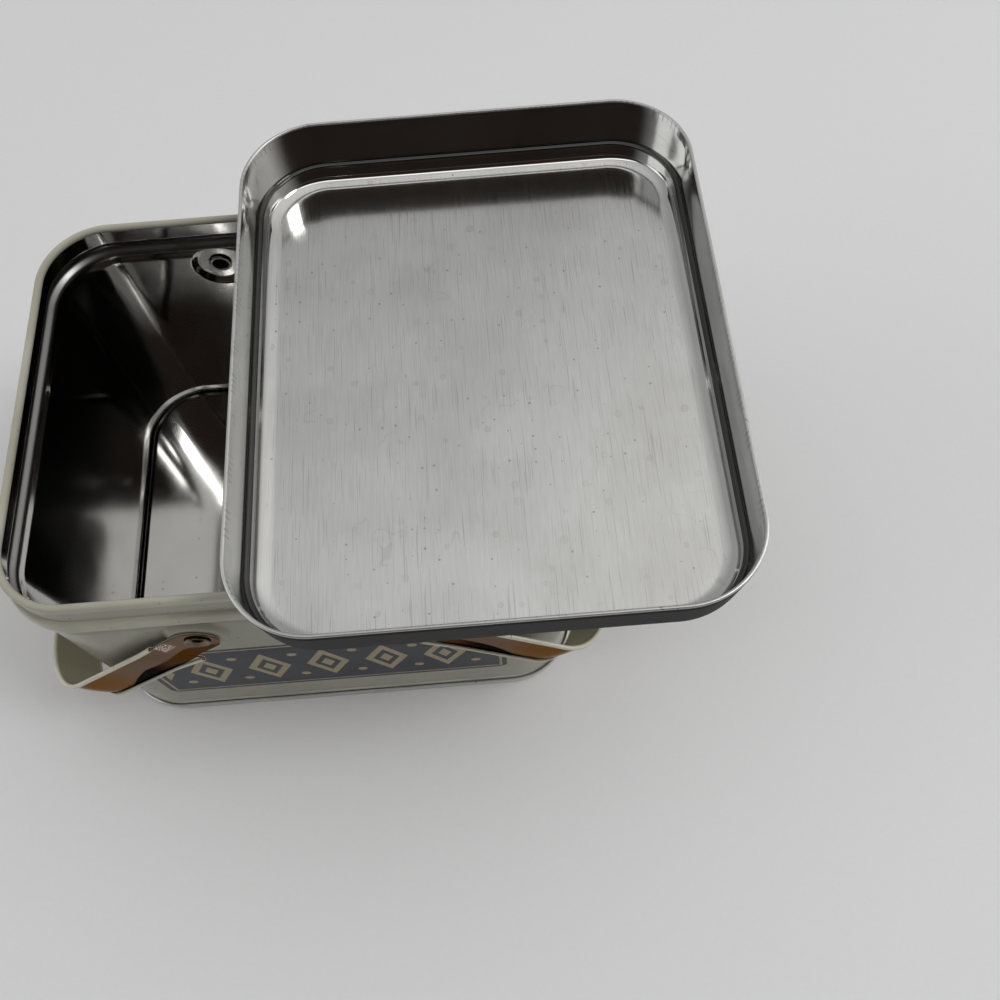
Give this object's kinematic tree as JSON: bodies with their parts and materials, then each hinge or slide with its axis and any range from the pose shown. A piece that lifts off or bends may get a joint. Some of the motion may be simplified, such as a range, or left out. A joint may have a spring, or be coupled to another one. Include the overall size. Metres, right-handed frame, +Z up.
{
  "type": "trinket tin",
  "caption": "Small round-cornered tinplate box shaped like a basket, with swinging strap handles and a loose slip lid lying upturned across its open top",
  "frame": {"origin": "centre of the base panel's underside, 2.5 mm above the plane the seamed foot stands on", "axes": "+X along the tin's long side, the way the displaced lid sticks out; +Y from the front wall to the back wall; +Z up"},
  "size_m": [0.1395, 0.1038, 0.0819],
  "materials": {
    "enamelled_tinplate": "cream enamel outside, bright tinplate inside, semi-gloss",
    "bare_tinplate": "bright rolled tinplate with a fine grain",
    "copper_lacquer": "copper-brown lacquer, glossy, with cream rolled edges",
    "rivet_brass": "copper-toned brass, semi-gloss"
  },
  "bodies": {
    "tin": {"body_wall": "enamelled_tinplate", "base_panel": "bare_tinplate", "rivet_front_left": "rivet_brass", "rivet_front_right": "rivet_brass", "rivet_back_left": "rivet_brass", "rivet_back_right": "rivet_brass"},
    "lid": {"lid": "bare_tinplate"},
    "handle_left": {"handle_left": "copper_lacquer"},
    "handle_right": {"handle_right": "copper_lacquer"}
  },
  "joints": [
    {"name": "handle_left_swing", "type": "hinge", "parent": "tin", "child": "handle_left", "pos_m": [-0.01895, 0, 0.04955], "axis": [0, 1, 0], "range_deg": [0, 140]},
    {"name": "handle_right_swing", "type": "hinge", "parent": "tin", "child": "handle_right", "pos_m": [0.01895, 0, 0.04955], "axis": [0, -1, 0], "range_deg": [0, 52]},
    {"name": "lid_lift", "type": "slide", "parent": "tin", "child": "lid", "axis": [0, 0, 1], "range_m": [0, 0.06]}
  ]
}
